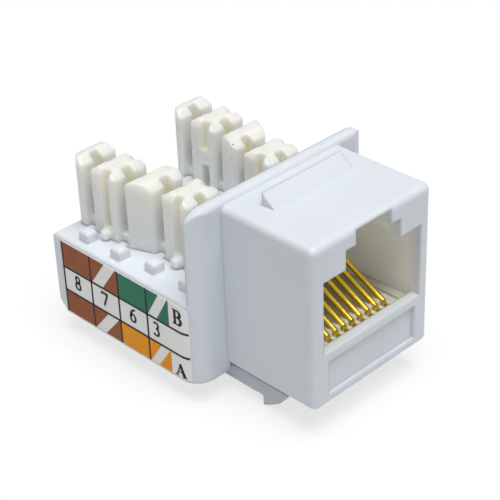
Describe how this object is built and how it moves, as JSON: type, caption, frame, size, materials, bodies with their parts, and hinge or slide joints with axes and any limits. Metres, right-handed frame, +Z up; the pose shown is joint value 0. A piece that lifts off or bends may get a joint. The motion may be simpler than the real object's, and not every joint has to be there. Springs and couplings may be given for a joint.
{
  "type": "keystone jack",
  "caption": "White eight-contact keystone jack: a modular plug port with gold contacts that snaps into a panel, and two rows of ivory punch-down towers behind.",
  "frame": {"origin": "middle of the panel cut-out, in the plane of the flange's front face, halfway up the front housing", "axes": "+Y is the way a plug goes in, from the port to the cable end; +Z is up, towards the fixed ridge; +X to the right seen from the port"},
  "size_m": [0.022, 0.0288, 0.02],
  "materials": {
    "housing_white": "smooth moulded white",
    "tower_ivory": "moulded ivory",
    "carrier_plastic": "moulded off-white",
    "board_green": "solder mask",
    "contact_gold": "gold plated",
    "contact_tin": "tin plated",
    "label_film": "printed film"
  },
  "bodies": {
    "housing": {"main_housing": "housing_white", "bottom_cover": "housing_white", "contact_carrier": "carrier_plastic", "circuit_board": "board_green", "tower_block_left": "tower_ivory", "tower_block_right": "tower_ivory", "wiring_label_left": "label_film", "wiring_label_right": "label_film", "spring_contact_1": "contact_gold", "spring_contact_2": "contact_gold", "spring_contact_3": "contact_gold", "spring_contact_4": "contact_gold", "spring_contact_5": "contact_gold", "spring_contact_6": "contact_gold", "spring_contact_7": "contact_gold", "spring_contact_8": "contact_gold", "idc_contact_left_1": "contact_tin", "idc_contact_left_2": "contact_tin", "idc_contact_left_3": "contact_tin", "idc_contact_left_4": "contact_tin", "idc_contact_right_1": "contact_tin", "idc_contact_right_2": "contact_tin", "idc_contact_right_3": "contact_tin", "idc_contact_right_4": "contact_tin"},
    "latch": {"latch_arm": "housing_white"}
  },
  "joints": [
    {"name": "latch_flex", "type": "hinge", "parent": "housing", "child": "latch", "pos_m": [0, 0.0094, -0.00808], "axis": [-1, 0, 0], "range_deg": [0, 5.2], "stiffness_Nm_per_rad": 1}
  ]
}
